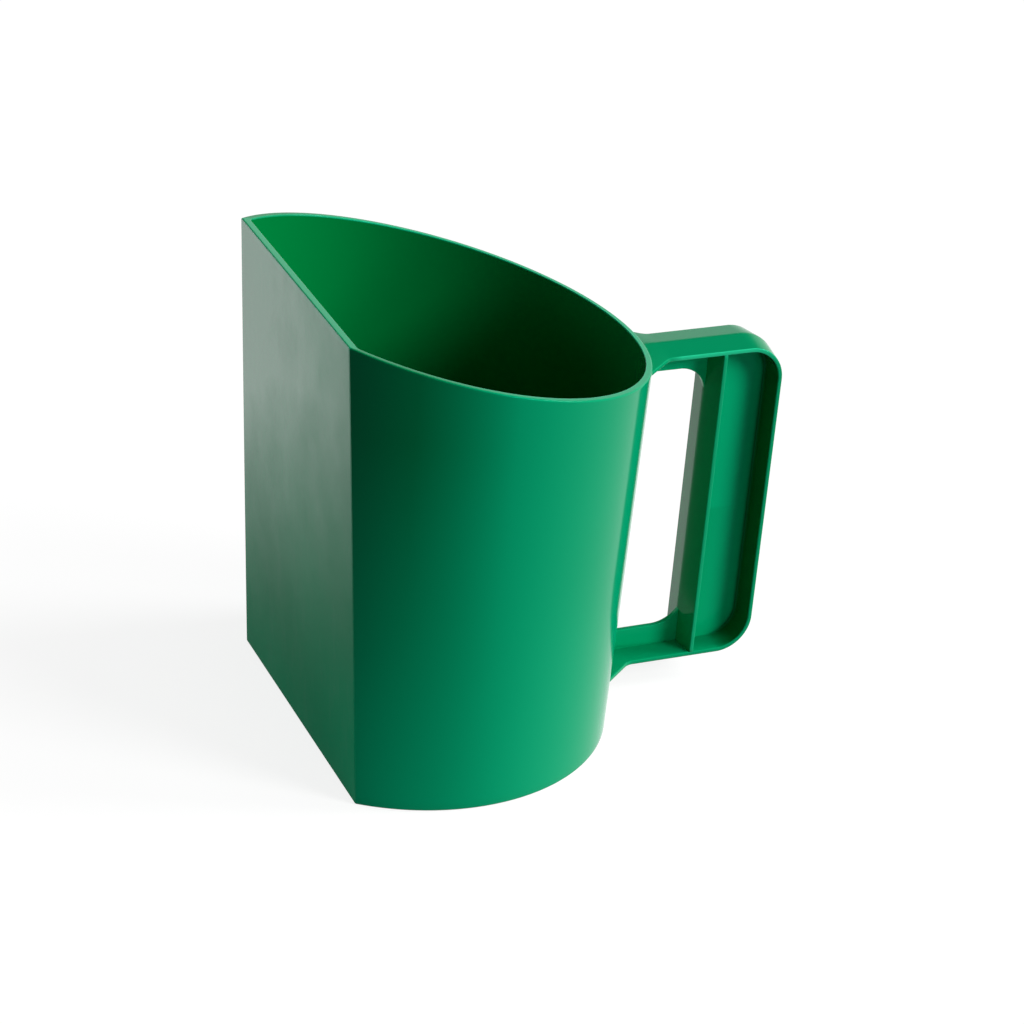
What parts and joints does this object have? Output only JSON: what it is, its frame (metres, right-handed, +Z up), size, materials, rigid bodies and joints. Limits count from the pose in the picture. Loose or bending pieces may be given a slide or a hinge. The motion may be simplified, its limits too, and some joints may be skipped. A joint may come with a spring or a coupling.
{
  "type": "feed scoop",
  "caption": "D-section feed scoop standing on its closed end, with a slanted dished mouth, a flat floor wall and a ribbed loop handle.",
  "frame": {"origin": "on the resting face of the closed end, on the cup's conical axis and in the mirror plane", "axes": "+Z up from the closed end to the mouth, +X from the flat wall towards the handle, Y = 0 the mirror and parting plane"},
  "size_m": [0.1943, 0.1582, 0.1802],
  "materials": {
    "moulding": "glossy green polypropylene",
    "flat_wall_moulding": "satin green polypropylene, lightly scuffed"
  },
  "bodies": {
    "root": {"closed_end": "moulding", "flat_wall": "flat_wall_moulding", "round_wall": "moulding", "upper_flange": "moulding", "grip_flange": "moulding", "lower_flange": "moulding", "grip_rib": "moulding", "grip_web": "moulding", "upper_web": "moulding", "lower_web": "moulding"}
  },
  "joints": []
}
